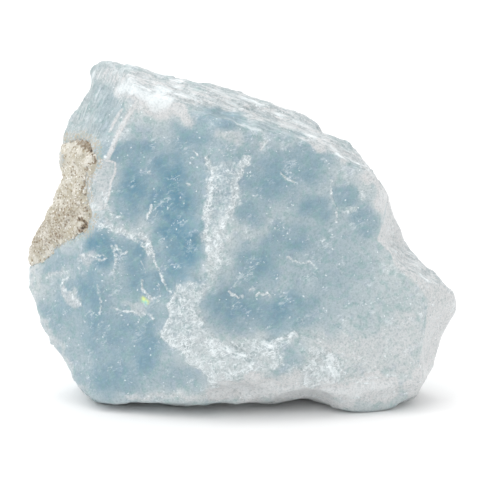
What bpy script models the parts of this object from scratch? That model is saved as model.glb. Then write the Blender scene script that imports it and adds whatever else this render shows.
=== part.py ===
"""Rough celestite: a broken, cloudy, pale blue cleavage block with a rind of sandy matrix on its left flank.

The block is shaped in the axes of its best face, in millimetres: x runs across the face, y runs from the
face into the stone, and z runs up the face. The whole stone is then leaned back and trimmed flat where it
rests. Run it with blender --background --python part.py, or from Blender's text editor.
"""

import math

import bmesh
import bpy
import numpy as np
from mathutils import Matrix, Vector, noise
from mathutils.bvhtree import BVHTree

# Driving dimensions, in millimetres and degrees
LEAN = 10.0
REST_HEIGHT = 0.8
EVEN_MESH = 0.5
SOLID_TRIANGLES = 8700
JOIN_GAP = 0.32
CLEAR_OF_STONE = 45.0
MM = 0.001

# How the surface breaks: height and wave length of each kind of unevenness, and its height on the flat face
SWELL, SWELL_LENGTH = 0.40, 12.0
RIPPLE, RIPPLE_ON_FACE, RIPPLE_LENGTH = 0.30, 0.08, 4.0
HACKLE, HACKLE_ON_FACE, HACKLE_LENGTH = 0.55, 0.08, 5.0
MATRIX_GRAIN, MATRIX_GRAIN_LENGTH = 0.35, 1.8

# Cleavage stairs on the top and the left flank: height, then tread and the way each stair climbs
STAIR = 0.45
TOP_STAIR, TOP_CLIMB = 2.3, Vector((0.33, -0.12, 1.0))
FLANK_STAIR, FLANK_CLIMB = 1.9, Vector((1.0, 0.15, -0.45))

# The widest outline of the block on its best face: x across, z up, anticlockwise from the top left corner
OUTLINE = [
    (-20.2, 47.9), (-21.4, 47.2), (-21.7, 45.7), (-22.2, 43.6), (-22.9, 41.7), (-24.2, 40.0),
    (-25.0, 38.2), (-25.2, 36.2), (-25.0, 33.6), (-24.6, 31.4), (-25.8, 29.2), (-27.0, 26.6),
    (-28.4, 24.6), (-29.7, 22.5), (-30.5, 20.2), (-30.3, 18.2), (-29.7, 15.5), (-28.9, 12.8),
    (-27.7, 10.6), (-26.4, 8.5), (-25.0, 6.7), (-23.8, 4.7), (-22.4, 2.4), (-20.9, 0.9),
    (-18.6, 0.3), (-14.6, 0.4), (-10.4, 0.0), (-5.4, 0.3), (-0.8, 0.4), (3.4, 0.5),
    (6.0, 0.8), (8.6, 0.9), (11.0, 0.2), (13.4, -0.6), (15.2, -1.0), (17.0, -1.3),
    (18.6, -0.9), (19.8, -0.4), (22.0, 0.2), (23.9, 1.4), (24.8, 3.3), (26.2, 5.6),
    (27.0, 7.8), (28.1, 10.0), (29.1, 12.2), (29.9, 13.8), (29.2, 15.6), (28.1, 16.9),
    (27.2, 18.5), (25.9, 19.6), (24.7, 20.2), (23.5, 21.6), (22.5, 23.2), (21.5, 25.3),
    (20.8, 27.6), (20.0, 29.3), (18.8, 31.2), (17.6, 32.8), (16.4, 34.4), (14.9, 35.9),
    (13.1, 37.1), (11.4, 37.6), (10.1, 38.9), (8.0, 40.3), (5.4, 41.1), (2.5, 42.2),
    (-1.2, 43.4), (-5.2, 44.2), (-9.6, 45.0), (-13.6, 46.4), (-17.4, 47.5), (-18.8, 48.2),
]

# Sections of the blank from its face to its back: depth y, and how far the outline is drawn in there
SECTIONS = [(-15.0, 2.4), (-9.0, 0.5), (-2.0, 0.0), (5.0, 0.4), (11.0, 2.0), (16.0, 4.6)]

# Flat cleavages that run right across the block: a point on each, and the way it faces
CLEAVAGES = {
    "left_face": ((-8.0, -11.6, 24.0), (-0.20, -1.0, 0.03)),
    "right_face": ((10.0, -10.6, 22.0), (0.21, -1.0, 0.05)),
    "top_bevel": ((-8.0, -11.2, 41.2), (0.26, -0.52, 0.81)),
    "top_right_bevel": ((13.6, -8.6, 34.4), (0.50, -0.60, 0.62)),
    "crest_flank": ((-16.8, -10.4, 38.2), (-0.70, -0.60, 0.38)),
    "pale_flank": ((-19.0, -9.6, 29.5), (-0.62, -0.78, -0.05)),
    "lower_left_face": ((-18.0, -9.6, 13.0), (-0.27, -0.95, -0.14)),
    "left_edge": ((-27.6, -4.8, 13.0), (-0.80, -0.60, -0.10)),
    "foot_bevel": ((-9.0, -10.8, 1.5), (-0.05, -0.45, -0.89)),
    "foot_face": ((3.0, -11.9, 3.8), (0.04, -0.80, -0.60)),
    "foot_right_face": ((18.5, -8.9, 2.6), (0.26, -0.84, -0.48)),
    "right_tip_face": ((27.4, -5.2, 10.0), (0.62, -0.78, 0.02)),
    "back_face": ((0.0, 13.2, 22.0), (0.08, 1.0, 0.10)),
    "back_left": ((-17.0, 9.6, 24.0), (-0.56, 0.80, 0.14)),
    "back_right": ((18.0, 8.6, 20.0), (0.60, 0.76, 0.12)),
    "back_top": ((-6.0, 8.4, 41.0), (0.12, 0.60, 0.79)),
    "back_top_right": ((12.0, 7.0, 33.0), (0.52, 0.62, 0.58)),
    "back_foot": ((2.0, 12.6, 5.0), (0.05, 0.86, -0.50)),
}

# Shallow shell-shaped flakes: near the middle of the scar, the way it faces, radius of the curve, depth
FLAKES = {
    "face_hollow": ((1.6, -12.8, 13.4), (0.10, -1.0, 0.05), 14.5, 1.7),
    "left_dish": ((-10.5, -11.3, 27.0), (-0.20, -1.0, 0.05), 52.0, 0.9),
    "right_dish": ((12.5, -10.2, 21.0), (0.22, -1.0, 0.05), 60.0, 1.0),
    "lower_left_dish": ((-19.0, -9.4, 11.0), (-0.25, -1.0, -0.10), 30.0, 0.8),
    "right_scoop": ((22.8, -5.6, 21.6), (0.70, -0.42, 0.58), 10.0, 1.9),
    "matrix_scoop": ((-23.8, -5.6, 31.0), (-0.80, -0.58, 0.10), 8.0, 1.3),
    "top_scoop": ((-11.5, -8.6, 43.8), (0.22, -0.52, 0.81), 15.0, 0.9),
    "top_right_scoop": ((14.6, -6.6, 35.0), (0.50, -0.60, 0.62), 12.0, 0.8),
    "foot_scoop": ((-1.0, -11.4, 2.6), (0.0, -0.80, -0.60), 12.0, 0.8),
    "foot_arch": ((8.0, -10.0, 0.9), (0.05, -0.40, -0.92), 9.0, 0.9),
    "tip_scoop": ((26.8, -4.0, 8.0), (0.80, -0.60, -0.10), 12.0, 0.9),
    "back_hollow": ((-7.0, 12.8, 29.0), (-0.05, 1.0, 0.15), 24.0, 3.0),
    "back_low_hollow": ((11.0, 12.0, 13.0), (0.25, 1.0, -0.05), 20.0, 2.4),
    "back_left_scoop": ((-21.0, 7.4, 14.0), (-0.75, 0.65, 0.0), 17.0, 1.8),
    "back_top_scoop": ((5.0, 8.0, 38.5), (0.20, 0.70, 0.70), 14.0, 1.5),
    "back_tip_scoop": ((24.5, 5.0, 9.0), (0.80, 0.60, 0.0), 14.0, 1.6),
}

# Cleavage steps: a point on the edge, the way the face looks, the way the lower ground lies, step height
LEDGES = {
    "top_front": ((-2.0, -8.0, 42.6), (0.26, -0.52, 0.81), (0.18, -0.82, -0.54), 0.5),
    "top_back": ((2.0, -1.0, 43.0), (0.20, 0.10, 0.97), (0.30, 0.95, -0.15), 0.8),
    "left_arc": ((-14.2, -10.6, 22.0), (-0.20, -1.0, 0.03), (-0.64, 0.13, -0.77), 0.45),
    "right_low": ((17.0, -8.8, 5.6), (0.21, -1.0, 0.05), (0.10, 0.0, -1.0), 0.35),
    "back_upright": ((5.0, 12.8, 26.0), (0.08, 1.0, 0.10), (0.93, -0.10, 0.32), 1.6),
    "back_low": ((-12.0, 12.0, 14.0), (-0.20, 0.96, 0.06), (-0.30, -0.10, -0.95), 1.3),
    "back_far": ((16.0, 9.0, 17.0), (0.60, 0.76, 0.12), (0.40, -0.30, -0.87), 1.2),
}

# Hackly broken ground that stands up from the best face: its middle line (x, z), half width, height
WELTS = {
    "middle_band": ([(-3.0, 37.5), (-2.6, 33.5), (-3.8, 28.4), (-4.2, 23.5), (-5.2, 18.6)], 3.2, 0.55),
    "fork_left": ([(-6.4, 17.2), (-8.0, 13.6), (-7.6, 9.4), (-4.6, 6.8)], 3.2, 1.0),
    "fork_right": ([(-4.6, 6.8), (-0.6, 5.6), (3.8, 7.0), (8.0, 8.8)], 3.2, 1.0),
    "chip": ([(11.4, 5.0), (13.4, 6.2)], 1.9, 0.6),
    "foot_ridge": ([(12.6, 3.2), (20.0, 3.4), (25.4, 4.8)], 1.6, 0.4),
}

# Where matrix gives way to crystal, seen on the best face: x across, z up, from the top to the bottom
MATRIX_EDGE = [
    (-28.0, 37.2), (-24.4, 36.4), (-22.4, 36.8), (-20.6, 35.4), (-19.7, 33.4), (-20.0, 32.2),
    (-21.2, 31.2), (-21.3, 28.4), (-20.6, 26.2), (-21.4, 24.0), (-24.4, 23.0), (-28.0, 20.9), (-33.0, 19.4),
]


def new_object(name, mesh):
    """An object of this mesh, linked to the scene."""
    made = bpy.data.objects.new(name, mesh)
    bpy.context.scene.collection.objects.link(made)
    return made


def mesh_from(bm, name):
    """The mesh of a bmesh, which it frees."""
    mesh = bpy.data.meshes.new(name)
    bm.to_mesh(mesh)
    bm.free()
    return mesh


def apply_modifiers(obj):
    """Makes what the object's modifiers show its own mesh."""
    graph = bpy.context.evaluated_depsgraph_get()
    mesh = bpy.data.meshes.new_from_object(obj.evaluated_get(graph))
    obj.modifiers.clear()
    obj.data = mesh


def drawn_in(outline, distance):
    """The outline moved inwards by a distance, point by point, along the mean normal of its two edges."""
    points = [Vector(p) for p in outline]
    moved = []
    for i, point in enumerate(points):
        along = (points[(i + 1) % len(points)] - points[i - 1]).normalized()
        moved.append(point + distance * Vector((-along.y, along.x)))
    return moved


def blank():
    """The block before it is split: the outline lofted through its sections, with a flat face at each end."""
    bm = bmesh.new()
    rings = []
    for depth, inset in SECTIONS:
        rings.append([bm.verts.new((p.x, depth, p.y)) for p in drawn_in(OUTLINE, inset)])
    count = len(OUTLINE)
    for front, back in zip(rings, rings[1:]):
        for i in range(count):
            j = (i + 1) % count
            bm.faces.new((front[i], front[j], back[j], back[i]))
    bm.faces.new(rings[0])
    bm.faces.new(rings[-1])
    bmesh.ops.triangulate(bm, faces=bm.faces)
    bmesh.ops.recalc_face_normals(bm, faces=bm.faces)
    return bm


def cleave(bm, point, facing):
    """Splits off everything on the outer side of a plane, and closes the cut."""
    cut = bmesh.ops.bisect_plane(
        bm,
        geom=bm.verts[:] + bm.edges[:] + bm.faces[:],
        plane_co=point,
        plane_no=facing,
        clear_outer=True,
    )
    rim = [e for e in cut["geom_cut"] if isinstance(e, bmesh.types.BMEdge)]
    bmesh.ops.holes_fill(bm, edges=[e for e in rim if e.is_boundary], sides=0)
    bmesh.ops.triangulate(bm, faces=[f for f in bm.faces if len(f.verts) > 3])


def even_mesh(stone, size):
    """An even mesh of small faces over the same shape."""
    remesh = stone.modifiers.new("even", "REMESH")
    remesh.mode = "VOXEL"
    remesh.voxel_size = size
    apply_modifiers(stone)


def read_points(mesh):
    """The mesh's points as an array."""
    points = np.empty(len(mesh.vertices) * 3)
    mesh.vertices.foreach_get("co", points)
    return points.reshape(-1, 3)


def read_normals(mesh):
    """The direction that each of the mesh's points faces, as an array."""
    normals = np.empty(len(mesh.vertices) * 3)
    mesh.vertices.foreach_get("normal", normals)
    return normals.reshape(-1, 3)


def write_points(mesh, points):
    """Moves the mesh's points to those of an array."""
    mesh.vertices.foreach_set("co", points.ravel())
    mesh.update()


def strike_flake(points, tree, near, facing, radius, depth):
    """Presses the points inside a ball back onto it, as a flake leaves a shell-shaped scar."""
    facing = Vector(facing).normalized()
    surface = tree.ray_cast(Vector(near) + CLEAR_OF_STONE * facing, -facing)[0]
    centre = np.array(surface + facing * (radius - depth))
    facing = np.array(facing)
    to_point = points - centre
    along = to_point @ facing
    square = (to_point**2).sum(axis=1)
    inside = square < radius**2
    back = along[inside] + np.sqrt(along[inside] ** 2 - square[inside] + radius**2)
    points[inside] -= back[:, None] * facing


def press_ledge(points, tree, near, facing, lower_side, depth):
    """Presses the points on the lower side of a step down to a floor, as a layer of crystal splits away."""
    facing = Vector(facing).normalized()
    lower_side = np.array(Vector(lower_side).normalized())
    edge = tree.ray_cast(Vector(near) + CLEAR_OF_STONE * facing, -facing)[0]
    facing = np.array(facing)
    height = (points - np.array(edge)) @ facing + depth
    beyond = (points - np.array(edge)) @ lower_side
    pressed = (height > 0.0) & (height < 3.0 * depth) & (beyond > 0.0)
    points[pressed] -= height[pressed][:, None] * facing


def ripple(point, size, octaves=3):
    """Smooth noise about zero whose waves are this many millimetres long."""
    return noise.fractal(point / size, 1.0, 2.1, octaves)


def hackle(point, size):
    """Broken ground with sharp crests, about 0 to 1."""
    return noise.ridged_multi_fractal(point / size, 1.0, 2.1, 3, 1.0, 2.0) / 2.0


def terrace(height, step):
    """How far a stair with this step stands above its middle line: a saw with one sharp side, -0.5 to 0.5."""
    share = height / step
    return share - math.floor(share) - 0.5


def smooth_share(value, low, high):
    """0 below low, 1 above high, and a smooth ramp between."""
    t = min(1.0, max(0.0, (value - low) / (high - low)))
    return t * t * (3.0 - 2.0 * t)


def away_from(line, x, z):
    """Distance of a point of the face from a line of points."""
    best = 1e9
    here = Vector((x, z))
    for a, b in zip(line, line[1:]):
        start, step = Vector(a), Vector(b) - Vector(a)
        share = min(1.0, max(0.0, (here - start).dot(step) / step.length_squared))
        best = min(best, (here - start - share * step).length)
    return best


def welt_height(p, facing_front):
    """How far the broken ground stands up at a point of the best face."""
    height = 0.0
    for line, half_width, top in WELTS.values():
        wander = 0.7 * half_width * ripple(p + Vector((9.0, 0.0, 3.0)), 4.5)
        share = 1.0 - smooth_share(away_from(line, p.x, p.z) + wander, 0.3 * half_width, 1.2 * half_width)
        height = max(height, share * top * (0.25 + 1.1 * hackle(p, 5.0)))
    return height * facing_front


def on_matrix(p):
    """1 where the sandy rind shows, 0 on the crystal."""
    return smooth_share(-p.x, 19.5, 22.0) * smooth_share(p.z, 20.0, 23.0) * smooth_share(-p.z, -38.0, -36.0)


def roughen(stone):
    """Moves each point along its normal: swells, hackly breaks, welts, and cleavage stairs."""
    points = read_points(stone.data)
    moved = points.copy()
    for i, normal in enumerate(read_normals(stone.data)):
        p = Vector(points[i])
        face = smooth_share(-normal[1], 0.80, 0.96)
        ripple_height = RIPPLE + (RIPPLE_ON_FACE - RIPPLE) * face
        hackle_height = HACKLE + (HACKLE_ON_FACE - HACKLE) * face
        swell = SWELL * ripple(p, SWELL_LENGTH, 2)
        swell += ripple_height * ripple(p + Vector((40.0, 0.0, 0.0)), RIPPLE_LENGTH)
        broken = hackle_height * (hackle(p, HACKLE_LENGTH) - 0.5)
        grain = MATRIX_GRAIN * ripple(p, MATRIX_GRAIN_LENGTH, 2) * on_matrix(p)
        top = smooth_share(normal[2], 0.45, 0.75)
        flank = smooth_share(-normal[0], 0.50, 0.80) * smooth_share(p.z, 20.0, 30.0)
        stairs = top * terrace(p.dot(TOP_CLIMB) + 0.5 * ripple(p, 11.0), TOP_STAIR)
        stairs += flank * terrace(p.dot(FLANK_CLIMB) + 0.5 * ripple(p, 9.0), FLANK_STAIR)
        welt = welt_height(p, smooth_share(-normal[1], 0.35, 0.75))
        moved[i] += normal * (swell + broken + grain + STAIR * stairs + welt)
    write_points(stone.data, moved)


def thin_out(stone, triangles):
    """Keeps the shape with about this many triangles, fewer where it is flat."""
    fewer = stone.modifiers.new("fewer", "DECIMATE")
    fewer.ratio = triangles / (2.0 * len(stone.data.polygons))
    fewer.use_collapse_triangulate = True
    apply_modifiers(stone)


def rest_flat(stone):
    """Leans the stone back as it rests, and trims it flat where it stands."""
    bm = bmesh.new()
    bm.from_mesh(stone.data)
    bmesh.ops.rotate(bm, verts=bm.verts, matrix=Matrix.Rotation(math.radians(-LEAN), 3, "X"))
    cleave(bm, (0.0, 0.0, REST_HEIGHT), (0.0, 0.0, -1.0))
    stone.data = mesh_from(bm, stone.name)


def matrix_cutter(shift):
    """A wall whose edge follows the matrix boundary through the stone. Shift moves it into the crystal."""
    bm = bmesh.new()
    lean = Matrix.Rotation(math.radians(-LEAN), 3, "X")
    rows = []
    for y in np.linspace(-24.0, 32.0, 29):
        free = smooth_share(y, -7.0, 1.0)
        wander = 2.0 * free * ripple(Vector((0.0, y, 7.0)), 14.0)
        rise = 2.6 * free * ripple(Vector((5.0, y, 3.0)), 7.0)
        edge = [Vector((x + wander + shift, y, z + rise)) for x, z in MATRIX_EDGE]
        for near_top, near_foot in ((edge[0], edge[-1]), (edge[1], edge[-2])):
            near_top.z += shift
            near_foot.z -= shift
        ends = [Vector((-CLEAR_OF_STONE, y, end.z)) for end in (edge[0], edge[-1])]
        row = [ends[0], *edge, ends[1]]
        rows.append([bm.verts.new(lean @ p) for p in row])
    for near, far in zip(rows, rows[1:]):
        for i in range(len(near)):
            j = (i + 1) % len(near)
            bm.faces.new((near[i], near[j], far[j], far[i]))
    bm.faces.new(rows[0])
    bm.faces.new(rows[-1])
    bmesh.ops.triangulate(bm, faces=bm.faces)
    bmesh.ops.recalc_face_normals(bm, faces=bm.faces)
    return new_object("matrix_cutter", mesh_from(bm, "matrix_cutter"))


def part_of(stone, name, operation, shift):
    """The part of the stone inside or outside the boundary of the matrix."""
    piece = new_object(name, stone.data.copy())
    cutter = matrix_cutter(shift)
    split = piece.modifiers.new("split", "BOOLEAN")
    split.operation = operation
    split.solver = "EXACT"
    split.object = cutter
    apply_modifiers(piece)
    bpy.data.objects.remove(cutter)
    return piece


def keep_largest(piece):
    """Drops any crumb that the split left loose."""
    bm = bmesh.new()
    bm.from_mesh(piece.data)
    islands, seen = [], set()
    for face in bm.faces:
        if face in seen:
            continue
        island, queue = [], [face]
        seen.add(face)
        while queue:
            here = queue.pop()
            island.append(here)
            for edge in here.edges:
                for other in edge.link_faces:
                    if other not in seen:
                        seen.add(other)
                        queue.append(other)
        islands.append(island)
    islands.sort(key=len)
    crumbs = [f for island in islands[:-1] for f in island]
    bmesh.ops.delete(bm, geom=crumbs, context="FACES")
    piece.data = mesh_from(bm, piece.name)


def to_place(pieces):
    """Puts the middle of the stone's underside at the origin, in metres."""
    points = np.concatenate([read_points(piece.data) for piece in pieces])
    low, high = points.min(axis=0), points.max(axis=0)
    middle = Vector(((low[0] + high[0]) / 2, (low[1] + high[1]) / 2, low[2]))
    for piece in pieces:
        piece.data.transform(Matrix.Scale(MM, 4) @ Matrix.Translation(-middle))
        piece.data.shade_flat()
    print("middle of the underside, mm:", [round(c, 2) for c in middle])
    print("size, mm:", [round(float(c), 2) for c in high - low])


def finish(piece, colour, roughness):
    """A plain material of the mineral's colour."""
    material = bpy.data.materials.new(piece.name)
    material.use_nodes = True
    shader = material.node_tree.nodes["Principled BSDF"]
    shader.inputs["Base Color"].default_value = (*colour, 1.0)
    shader.inputs["Roughness"].default_value = roughness
    shader.inputs["Metallic"].default_value = 0.0
    piece.data.materials.clear()
    piece.data.materials.append(material)


def main():
    for obj in list(bpy.data.objects):
        bpy.data.objects.remove(obj)
    bm = blank()
    for point, facing in CLEAVAGES.values():
        cleave(bm, point, facing)
    bmesh.ops.recalc_face_normals(bm, faces=bm.faces)
    tree = BVHTree.FromBMesh(bm)
    stone = new_object("stone", mesh_from(bm, "stone"))
    even_mesh(stone, EVEN_MESH)
    points = read_points(stone.data)
    for near, facing, radius, depth in FLAKES.values():
        strike_flake(points, tree, near, facing, radius, depth)
    for near, facing, lower_side, depth in LEDGES.values():
        press_ledge(points, tree, near, facing, lower_side, depth)
    write_points(stone.data, points)
    even_mesh(stone, EVEN_MESH)
    roughen(stone)
    thin_out(stone, SOLID_TRIANGLES)
    rest_flat(stone)
    crystal = part_of(stone, "celestite", "DIFFERENCE", JOIN_GAP)
    matrix = part_of(stone, "matrix_rind", "INTERSECT", 0.0)
    bpy.data.objects.remove(stone)
    for piece in (crystal, matrix):
        keep_largest(piece)
        print(piece.name, len(piece.data.polygons))
    to_place([crystal, matrix])
    finish(crystal, (0.42, 0.56, 0.64), 0.35)
    finish(matrix, (0.66, 0.60, 0.50), 0.95)


if __name__ == "__main__":
    main()
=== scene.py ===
# %% [markdown]
# # Rough celestite
#
# Celestite is a soft, glassy mineral that splits along flat planes. This piece is a broken block of it:
# cloudy and pale blue, frosty white wherever it is crushed, and still holding a patch of the sandy rock that
# it grew on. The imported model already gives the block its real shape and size. This lesson dresses it: each
# solid is copied to a finer mesh, the small breaks are pressed into that mesh, and the colours are mixed from
# what the shape says, such as where the stone is thin.

import math

import bmesh
import bpy
import numpy as np
from mathutils import Matrix, Vector, noise
from mathutils.bvhtree import BVHTree


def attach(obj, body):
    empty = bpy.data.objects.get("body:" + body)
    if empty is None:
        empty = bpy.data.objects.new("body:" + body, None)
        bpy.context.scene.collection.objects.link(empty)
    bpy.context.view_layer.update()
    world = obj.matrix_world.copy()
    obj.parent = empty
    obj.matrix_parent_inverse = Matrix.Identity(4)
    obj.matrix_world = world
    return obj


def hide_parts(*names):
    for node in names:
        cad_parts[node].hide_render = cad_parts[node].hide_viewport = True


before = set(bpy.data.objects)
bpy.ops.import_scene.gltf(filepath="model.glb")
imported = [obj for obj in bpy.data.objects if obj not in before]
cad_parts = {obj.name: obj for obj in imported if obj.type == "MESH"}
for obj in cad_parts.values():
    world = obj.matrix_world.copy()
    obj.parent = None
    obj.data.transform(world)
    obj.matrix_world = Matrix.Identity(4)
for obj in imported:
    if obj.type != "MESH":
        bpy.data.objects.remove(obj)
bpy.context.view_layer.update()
print("nodes in the model:", sorted(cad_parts))

# %% [markdown]
# ## The axes of the best face
#
# The stone leans back ten degrees, so "up the face" isn't straight up. Every break below is placed in the
# axes of the face itself, in millimetres: x across it, y into the stone, z up it. The lines of the breaks
# were drawn on a flat tracing held in front of the stone. A tracing is seen from one point, so the
# nearer a spot is to the eye, the larger it is drawn. `on_tracing` does the same to the points of the mesh,
# and a line then falls where it was seen.

# %% Millimetres, the lean and the tracing
MM = 0.001
LEAN = math.radians(10.0)
FACE_MIDDLE = np.array((-0.17, 2.57, 0.80))
EYE_DISTANCE = 205.1
EYE_X, EYE_Z = -0.35, 22.8


def to_face(points):
    """Points of the model, in metres, in the axes of the best face, in millimetres."""
    x, y, z = (points / MM + FACE_MIDDLE).T
    return np.column_stack((
        x, y * math.cos(LEAN) - z * math.sin(LEAN), y * math.sin(LEAN) + z * math.cos(LEAN)))


def turned_to_face(directions):
    """Directions of the model in the axes of the best face."""
    x, y, z = directions.T
    return np.column_stack((
        x, y * math.cos(LEAN) - z * math.sin(LEAN), y * math.sin(LEAN) + z * math.cos(LEAN)))


def on_tracing(points):
    """Where points of the face axes fall on the flat tracing: x across, z up."""
    nearer = EYE_DISTANCE / (EYE_DISTANCE + points[:, 1])
    return EYE_X + (points[:, 0] - EYE_X) * nearer, EYE_Z + (points[:, 2] - EYE_Z) * nearer


# %% [markdown]
# ## Camera, floor and light
#
# A shop's picture of a stone is taken in a white tent: light comes from everywhere, and a little more of it
# from above. A bright, even world does that here. One wide lamp above and one at the front left give the
# breaks their soft shade. The floor is a plain pale sheet.

# %% Camera
LENS = 110.0
EYE_HEIGHT_ANGLE = math.radians(10.0)
AIM = Vector((-0.18, 1.39, 21.65)) * MM

camera = bpy.data.objects.new("camera", bpy.data.cameras.new("camera"))
camera.data.lens = LENS
camera.data.clip_start = 0.01
back = Vector((0.0, -math.cos(EYE_HEIGHT_ANGLE), math.sin(EYE_HEIGHT_ANGLE)))
camera.location = AIM + back * EYE_DISTANCE * MM
camera.rotation_euler = (-back).to_track_quat("-Z", "Y").to_euler()
bpy.context.scene.collection.objects.link(camera)
bpy.context.scene.camera = camera
print("camera at, mm:", [round(c / MM, 1) for c in camera.location])

# %% Floor and light
WORLD_LIGHT = 1.0
bpy.context.scene.view_settings.view_transform = "Standard"
world = bpy.data.worlds.new("white tent")
world.use_nodes = True
world.node_tree.nodes["Background"].inputs["Color"].default_value = (1.0, 1.0, 1.0, 1.0)
world.node_tree.nodes["Background"].inputs["Strength"].default_value = WORLD_LIGHT
bpy.context.scene.world = world


def add_light(name, comes_from, spread, strength):
    """A wide light that comes from this direction, spread over this angle in degrees."""
    light = bpy.data.objects.new(name, bpy.data.lights.new(name, "SUN"))
    light.data.angle = math.radians(spread)
    light.data.energy = strength
    light.rotation_euler = (-Vector(comes_from)).to_track_quat("-Z", "Y").to_euler()
    bpy.context.scene.collection.objects.link(light)


add_light("light above", (-0.25, 0.25, 1.0), 60.0, 0.9)
add_light("light front left", (-0.9, -0.7, 0.9), 50.0, 0.5)

floor_mesh = bpy.data.meshes.new("floor")
half = 30.0
floor_mesh.from_pydata(
    [(-half, -half, 0), (half, -half, 0), (half, half, 0), (-half, half, 0)], [], [(0, 1, 2, 3)])
floor = bpy.data.objects.new("floor", floor_mesh)
bpy.context.scene.collection.objects.link(floor)
paper = bpy.data.materials.new("pale paper")
paper.use_nodes = True
paper.node_tree.nodes["Principled BSDF"].inputs["Base Color"].default_value = (0.93, 0.93, 0.93, 1.0)
paper.node_tree.nodes["Principled BSDF"].inputs["Roughness"].default_value = 0.9
floor_mesh.materials.append(paper)

# %% [markdown]
# ## A finer mesh over the same shape
#
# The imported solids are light: about nine thousand flat triangles. A voxel remesh lays an even net over them,
# fine enough to carry chips a third of a millimetre wide. A few rounds of smoothing then melt the borders
# between the triangles, which real stone doesn't have. The solids themselves are never changed: the net is
# made on a copy.

# %% Copying a solid to a fine net
def apply_modifiers(piece):
    """Makes what the piece's modifiers show its own mesh."""
    graph = bpy.context.evaluated_depsgraph_get()
    mesh = bpy.data.meshes.new_from_object(piece.evaluated_get(graph))
    piece.modifiers.clear()
    piece.data = mesh


def fine_copy(node, name, spacing):
    """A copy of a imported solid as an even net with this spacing, in millimetres."""
    piece = bpy.data.objects.new(name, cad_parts[node].data.copy())
    bpy.context.scene.collection.objects.link(piece)
    net = piece.modifiers.new("net", "REMESH")
    net.mode = "VOXEL"
    net.voxel_size = spacing * MM
    apply_modifiers(piece)
    return piece


def read_points(mesh):
    """The mesh's points as an array."""
    points = np.empty(len(mesh.vertices) * 3)
    mesh.vertices.foreach_get("co", points)
    return points.reshape(-1, 3)


def read_normals(mesh):
    """The way each of the mesh's points faces, as an array."""
    normals = np.empty(len(mesh.vertices) * 3)
    mesh.vertices.foreach_get("normal", normals)
    return normals.reshape(-1, 3)


def write_points(mesh, points):
    """Moves the mesh's points to those of an array."""
    mesh.vertices.foreach_set("co", points.ravel())
    mesh.update()


def neighbours_mean(mesh, values):
    """The mean of each point's neighbours along the mesh's edges."""
    ends = np.empty(len(mesh.edges) * 2, dtype=np.int64)
    mesh.edges.foreach_get("vertices", ends)
    first, second = ends.reshape(-1, 2).T
    count = np.bincount(first, minlength=len(values)) + np.bincount(second, minlength=len(values))
    columns = []
    for column in values.reshape(len(values), -1).T:
        total = (np.bincount(first, column[second], len(values))
                 + np.bincount(second, column[first], len(values)))
        columns.append(total / np.maximum(count, 1))
    return np.column_stack(columns).reshape(values.shape)


def smoothed(mesh, values, rounds):
    """Values after some rounds of moving half way to the neighbours' mean."""
    for _ in range(rounds):
        values = 0.5 * (values + neighbours_mean(mesh, values))
    return values


# %% Making both nets
CRYSTAL_SPACING, CRYSTAL_ROUNDS = 0.40, 2
MATRIX_SPACING, MATRIX_ROUNDS = 0.17, 4

crystal = fine_copy("celestite", "crystal_block", CRYSTAL_SPACING)
write_points(crystal.data, smoothed(crystal.data, read_points(crystal.data), CRYSTAL_ROUNDS))
matrix = fine_copy("matrix_rind", "sandy_matrix", MATRIX_SPACING)
write_points(matrix.data, smoothed(matrix.data, read_points(matrix.data), MATRIX_ROUNDS))
for piece in (crystal, matrix):
    print(piece.name, len(piece.data.vertices), "points")

# %% [markdown]
# ## The lines of the breaks
#
# Each break is a short list of places on the tracing, like a line drawn with a pencil, with a half width and
# a strength. An area with a border, such as crushed ground or a flat scar, is a closed outline with a
# strength instead. Broken ground is where the stone was crushed: it is rough and frosty. Flat scars are pale
# and clean. Veils are hazy films just under the skin: they whiten the stone but leave it smooth. Some veils
# are painted light: the strokes along the crest paint a highlight on the top, where the light falls from
# above, and those along the foot, the low right and the tip paint light into the shade of the underside, the
# foot sheen as a painted sheen. Cracks and chips are thin and bright, and ridges are the pale borders of a
# facet; the three glint strokes among the cracks are painted glints. Dust is sand of the matrix that clings
# to the crystal beside it, and the spark is one small spot of rainbow colour: a painted rainbow glint.

# %% Outlines of crushed ground and flat scars
CRUSHED = {
    "band": (0.46, [
        (-5.0, 33.1), (-2.9, 34.0), (-0.9, 33.6), (-0.3, 31.9), (-0.1, 29.8), (0.1, 27.6), (-1.7, 27.0),
        (-2.0, 25.3), (-2.3, 23.9), (-1.2, 23.1), (-2.0, 22.0), (-2.9, 21.1), (-2.4, 19.7), (-3.1, 18.3),
        (-4.1, 17.1), (-5.0, 17.9), (-4.8, 19.7), (-5.0, 21.4), (-5.8, 22.5), (-6.2, 24.1), (-5.8, 25.6),
        (-5.2, 27.0), (-5.4, 28.4), (-5.1, 29.8), (-5.5, 31.2), (-5.2, 32.6)]),
    "fork": (0.54, [
        (-8.7, 16.6), (-7.1, 17.1), (-5.2, 17.1), (-5.4, 14.4), (-5.5, 11.9), (-5.4, 10.5), (-4.3, 9.8),
        (-2.4, 8.3), (-0.3, 8.7), (1.7, 9.1), (3.8, 8.8), (5.9, 9.1), (7.5, 9.9), (6.6, 8.1), (5.7, 6.0),
        (3.8, 4.6), (1.7, 4.1), (-0.3, 3.6), (-2.9, 2.9), (-4.0, 2.7), (-5.0, 3.5), (-5.9, 5.0), (-7.6, 6.2),
        (-9.0, 7.3), (-10.1, 8.4), (-11.0, 9.4), (-10.4, 10.5), (-10.1, 13.0), (-9.9, 14.7), (-9.3, 15.8)]),
    "foot chips": (0.66, [
        (9.6, 7.6), (12.0, 7.2), (13.8, 6.0), (15.0, 4.4), (13.6, 3.0), (10.6, 2.6), (8.0, 2.4),
        (8.2, 4.6)]),
}
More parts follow.
